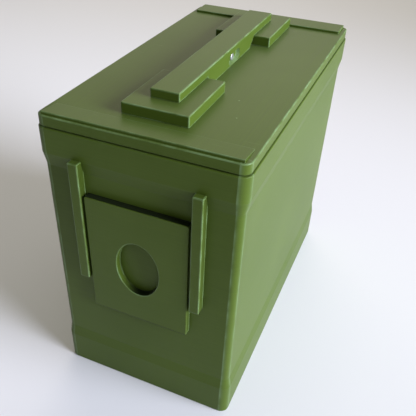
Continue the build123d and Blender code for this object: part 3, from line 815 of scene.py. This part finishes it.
# %% The seal
SEAL_WIDTH, SEAL_ROUND, SEAL_BEVEL, SEAL_CORNER = 2.1, 0.3, 0.35, 3.4
seal_low, seal_high = box_mm("lid_gasket")
seal_bottom, seal_top = seal_low[2], seal_high[2]
upper_edges, _ = profile([(0, seal_bottom), (0, seal_top), (-SEAL_WIDTH, seal_top),
                          (-SEAL_WIDTH, seal_bottom)], [SEAL_ROUND, SEAL_ROUND])
section = np.vstack([[(-SEAL_BEVEL, seal_bottom)], upper_edges[1:-1],
                     [(SEAL_BEVEL - SEAL_WIDTH, seal_bottom), (-SEAL_WIDTH / 2, seal_bottom - 0.05)]])
seal_rings = []
for grow, height in section:
    flat, _ = ring(rectangle(seal_high[0], seal_high[1]), SEAL_CORNER, grow, steps=6)
    seal_rings.append(np.column_stack([flat, np.full(len(flat), height)]))
seal_rings = np.array(seal_rings)
seal = build("lid_seal", [shell(seal_rings, np.zeros(seal_rings.shape[:2]), closed=True)])
dress(seal, "lid", "seal_rubber", rubber, "lid_gasket")

# %% Felt boards
FELT_EDGE, FELT_CORNER = 1.1, 1.5
SEAM_INSET, SEAM_WIDTH, SEAM_DEPTH = 4.0, 1.4, 0.5


def felt_board(name, node, body, axes, turn):
    """A board with its outline in the axes' first two directions and a sewn line on its open face.
    The line is a groove: down by its depth and up again within its width."""
    low, high = box_mm(node)
    low, high = np.sort([turn @ low, turn @ high], axis=0)
    back, face = low[2], high[2]
    line, _ = profile([(-SEAM_INSET, back), (0, back), (0, face), (-SEAM_INSET, face),
                       (-SEAM_INSET - SEAM_WIDTH / 2, face - SEAM_DEPTH),
                       (-SEAM_INSET - SEAM_WIDTH, face), (-SEAM_INSET - 4, face)],
                      [FELT_EDGE, FELT_EDGE, 0.5, 0.3, 0.5])
    outline = span(low[0], high[0], low[1], high[1])
    board = build(name, [prism(outline, FELT_CORNER, line, np.zeros(len(line)), axes)])
    dress(board, body, "fibre_felt", felt, node)
    return board


AXES = {"up": UP, "down": ((1, 0, 0), (0, -1, 0), (0, 0, -1)),
        "left": ((0, 0, 1), (0, 1, 0), (-1, 0, 0)), "right": ((0, 0, -1), (0, 1, 0), (1, 0, 0)),
        "back": ((1, 0, 0), (0, 0, -1), (0, 1, 0)), "front": ((1, 0, 0), (0, 0, 1), (0, -1, 0))}
for name, node, body, facing in (
        ("felt_floor", "floor_liner", "box", "up"), ("felt_right", "right_liner", "box", "left"),
        ("felt_left", "left_liner", "box", "right"), ("felt_front", "front_liner", "box", "back"),
        ("felt_rear", "rear_liner", "box", "front"), ("felt_lid", "lid_liner", "lid", "down")):
    felt_board(name, node, body, AXES[facing], np.array(AXES[facing], float))

# %% [markdown]
# ## The parts that keep their CAD shape
# Slide, bolts, guides, keepers and inner cover are plain printed parts, and screws, bushes and the
# hinge rod are turned ones.  Their shape is right as it is, so they only get their finish.

# %% Finish the CAD parts
CAD_FINISH = {
    grey: ("cam_slide", "right_lock_bolt", "left_lock_bolt", "right_bolt_guide", "left_bolt_guide",
           "right_lid_keeper", "left_lid_keeper", "latch_cover", "slot_bushes"),
    steel: ("rail_screws", "link_screws", "cover_screws", "keeper_screws", "handle_screws",
            "hinge_pin"),
}
for material, nodes in CAD_FINISH.items():
    for node in nodes:
        for place in frame["nodes"][node].material_slots:
            place.material = material
print("CAD parts with a new finish:", sum(len(nodes) for nodes in CAD_FINISH.values()))

# %% [markdown]
# ## Floor, light and camera
# A pale floor and three soft panels.  A bluish one stands level with the box on its right, so the
# right side is the light one.  A warm one behind and one high above and behind light the top.  The
# latch end gets only what the sky and the floor send back, so it stays the dark side.

# %% Floor and sky
FLOOR_REACH = 4.0             # metres from the middle to each side
floor_mesh = bpy.data.meshes.new("studio_floor")
floor_corners = np.column_stack([rectangle(FLOOR_REACH, FLOOR_REACH), np.zeros(4)])
floor_mesh.from_pydata(floor_corners.tolist(), [], [(0, 1, 2, 3)])
floor = bpy.data.objects.new("studio_floor", floor_mesh)
bpy.context.scene.collection.objects.link(floor)
floor_finish, _, floor_shader, _ = start_material("pale_floor")
floor_shader.inputs["Base Color"].default_value = (0.76, 0.76, 0.76, 1)
floor_shader.inputs["Roughness"].default_value = 0.9
floor_shader.inputs["Specular IOR Level"].default_value = 0.1
floor_mesh.materials.append(floor_finish)

world = bpy.data.worlds.new("studio")
world.use_nodes = True
world.node_tree.nodes["Background"].inputs["Color"].default_value = (1.0, 1.0, 0.9, 1)
world.node_tree.nodes["Background"].inputs["Strength"].default_value = 0.25
bpy.context.scene.world = world
print("floor:", 2 * FLOOR_REACH, "m square")

# %% Soft panels
def panel(name, place, aim, wide, high, power, colour, spread=180):
    """A soft rectangular light at a place in metres, turned towards aim.  A light shines along its
    own -Z, so Z points from aim to the light, X is level, and Y is what is square to both.  The
    spread in degrees says how narrow the beam is."""
    light = bpy.data.lights.new(name, "AREA")
    light.shape = "RECTANGLE"
    light.size, light.size_y = wide, high
    light.spread = math.radians(spread)
    light.energy = power
    light.color = colour
    lamp = bpy.data.objects.new(name, light)
    away = np.array(place, float) - np.array(aim, float)
    z_axis = unit(away)
    x_axis = unit(np.cross((0.0, 0.0, 1.0), z_axis))
    y_axis = np.cross(z_axis, x_axis)
    turned = np.eye(4)
    turned[:3, :4] = np.column_stack([x_axis, y_axis, z_axis, place])
    lamp.matrix_world = Matrix(turned.tolist())
    bpy.context.scene.collection.objects.link(lamp)
    print(f"{name}: {power} W over {wide} x {high} m")


middle = (0.0, 0.0, 0.08)
upper_edge = (0.0, 0.0, 0.17)
panel("right_panel", (1.10, -0.07, 0.50), upper_edge, 0.9, 0.7, 6.5, (0.80, 0.83, 1.0), spread=52)
panel("rear_panel", (-0.45, 1.05, 0.95), middle, 1.0, 1.0, 4.6, (1.0, 0.87, 0.72))
panel("overhead_panel", (0.10, 0.85, 1.30), middle, 1.2, 1.2, 4.4, (1.0, 0.96, 0.94))

# %% Camera
CAMERA_PLACE = (0.10162, -0.27188, 0.27170)
CAMERA_AZIMUTH, CAMERA_HEIGHT, CAMERA_ROLL = (math.radians(a) for a in (22.83, 37.48, 1.825))
camera_data = bpy.data.cameras.new("camera")
camera_data.lens = 47.545
camera_data.sensor_width = 36.0
camera_data.shift_x, camera_data.shift_y = 0.0383, 0.0471
camera = bpy.data.objects.new("camera", camera_data)
camera.matrix_world = (Matrix.Translation(CAMERA_PLACE)
                       @ Matrix.Rotation(CAMERA_AZIMUTH, 4, "Z")
                       @ Matrix.Rotation(math.pi / 2 - CAMERA_HEIGHT, 4, "X")
                       @ Matrix.Rotation(CAMERA_ROLL, 4, "Z"))
bpy.context.scene.collection.objects.link(camera)
bpy.context.scene.camera = camera
bpy.context.scene.view_settings.view_transform = "Standard"
print("camera", round(float(np.linalg.norm(CAMERA_PLACE)), 3), "m from the origin")

# %% Bring the scene up to date
bpy.context.view_layer.update()
